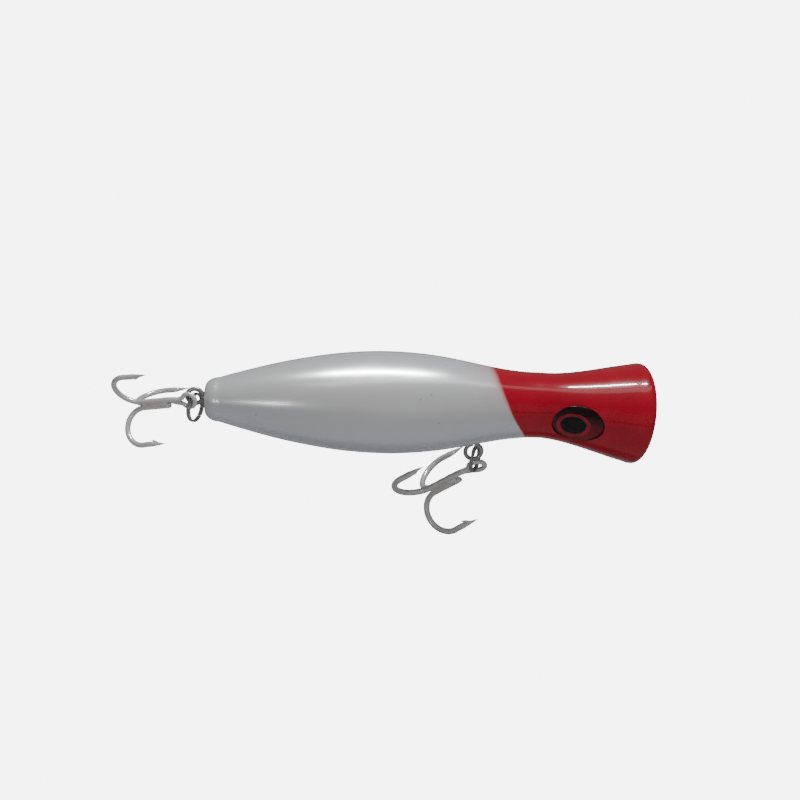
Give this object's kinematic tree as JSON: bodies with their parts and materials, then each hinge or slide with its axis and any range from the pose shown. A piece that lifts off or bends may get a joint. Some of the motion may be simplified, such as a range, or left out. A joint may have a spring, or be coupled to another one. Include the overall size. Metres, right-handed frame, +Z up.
{
  "type": "topwater popper",
  "caption": "Hollow cup-mouthed surface fishing lure with a flared head, side eyes, inner rattles and weights, and swinging treble hooks on split rings at belly and tail.",
  "frame": {"origin": "middle of the line tie's wire eye, inside the mouth cup", "axes": "+X forward out of the mouth along the body's length, +Z up through the back, +Y to the lure's left"},
  "size_m": [0.176, 0.0477, 0.0719],
  "materials": {
    "pearl_shell": "pearl lacquer with a red head",
    "stainless_wire": "drawn",
    "lead": "dull",
    "steel_ball": "polished",
    "iris_foil": "printed foil",
    "pupil_black": "gloss",
    "lens_resin": "clear resin",
    "split_ring_steel": "nickel",
    "hook_steel": "tinned",
    "braze_bronze": "satin"
  },
  "bodies": {
    "lure_body": {"left_shell": "pearl_shell", "right_shell": "pearl_shell", "through_wire": "stainless_wire", "belly_hanger": "stainless_wire", "belly_weight": "lead", "tail_weight": "lead", "left_iris": "iris_foil", "left_pupil": "pupil_black", "left_lens": "lens_resin", "right_iris": "iris_foil", "right_pupil": "pupil_black", "right_lens": "lens_resin"},
    "rear_rattle": {"rattle_ball_rear": "steel_ball"},
    "front_rattle": {"rattle_ball_front": "steel_ball"},
    "tail_ring": {"tail_split_ring": "split_ring_steel"},
    "tail_treble": {"tail_hook_pair": "hook_steel", "tail_hook_single": "hook_steel", "tail_hook_braze": "braze_bronze"},
    "belly_ring": {"belly_split_ring": "split_ring_steel"},
    "belly_treble": {"belly_hook_pair": "hook_steel", "belly_hook_single": "hook_steel", "belly_hook_braze": "braze_bronze"}
  },
  "joints": [
    {"name": "tail_ring_swing", "type": "hinge", "parent": "lure_body", "child": "tail_ring", "pos_m": [-0.14192, 0, 0.0036], "axis": [0.3584, 0.9336, 0], "range_deg": [-12, 60]},
    {"name": "tail_treble_swing", "type": "hinge", "parent": "tail_ring", "child": "tail_treble", "pos_m": [-0.14347, -0.0025, 0.00254], "axis": [0.3584, 0.9336, 0], "range_deg": [-58, 20]},
    {"name": "belly_ring_swing", "type": "hinge", "parent": "lure_body", "child": "belly_ring", "pos_m": [-0.04902, 0, -0.01576], "axis": [0.3601, 0.7316, 0.5789], "range_deg": [-25, 25]},
    {"name": "belly_treble_swing", "type": "hinge", "parent": "belly_ring", "child": "belly_treble", "pos_m": [-0.04643, 0.00479, -0.02342], "axis": [0, 0.848, 0.5299], "range_deg": [-85, 12]},
    {"name": "rear_rattle_roll", "type": "slide", "parent": "lure_body", "child": "rear_rattle", "axis": [1, 0, 0], "range_m": [0, 0.0204]},
    {"name": "front_rattle_roll", "type": "slide", "parent": "lure_body", "child": "front_rattle", "axis": [1, 0, 0], "range_m": [0, 0.0154]}
  ]
}
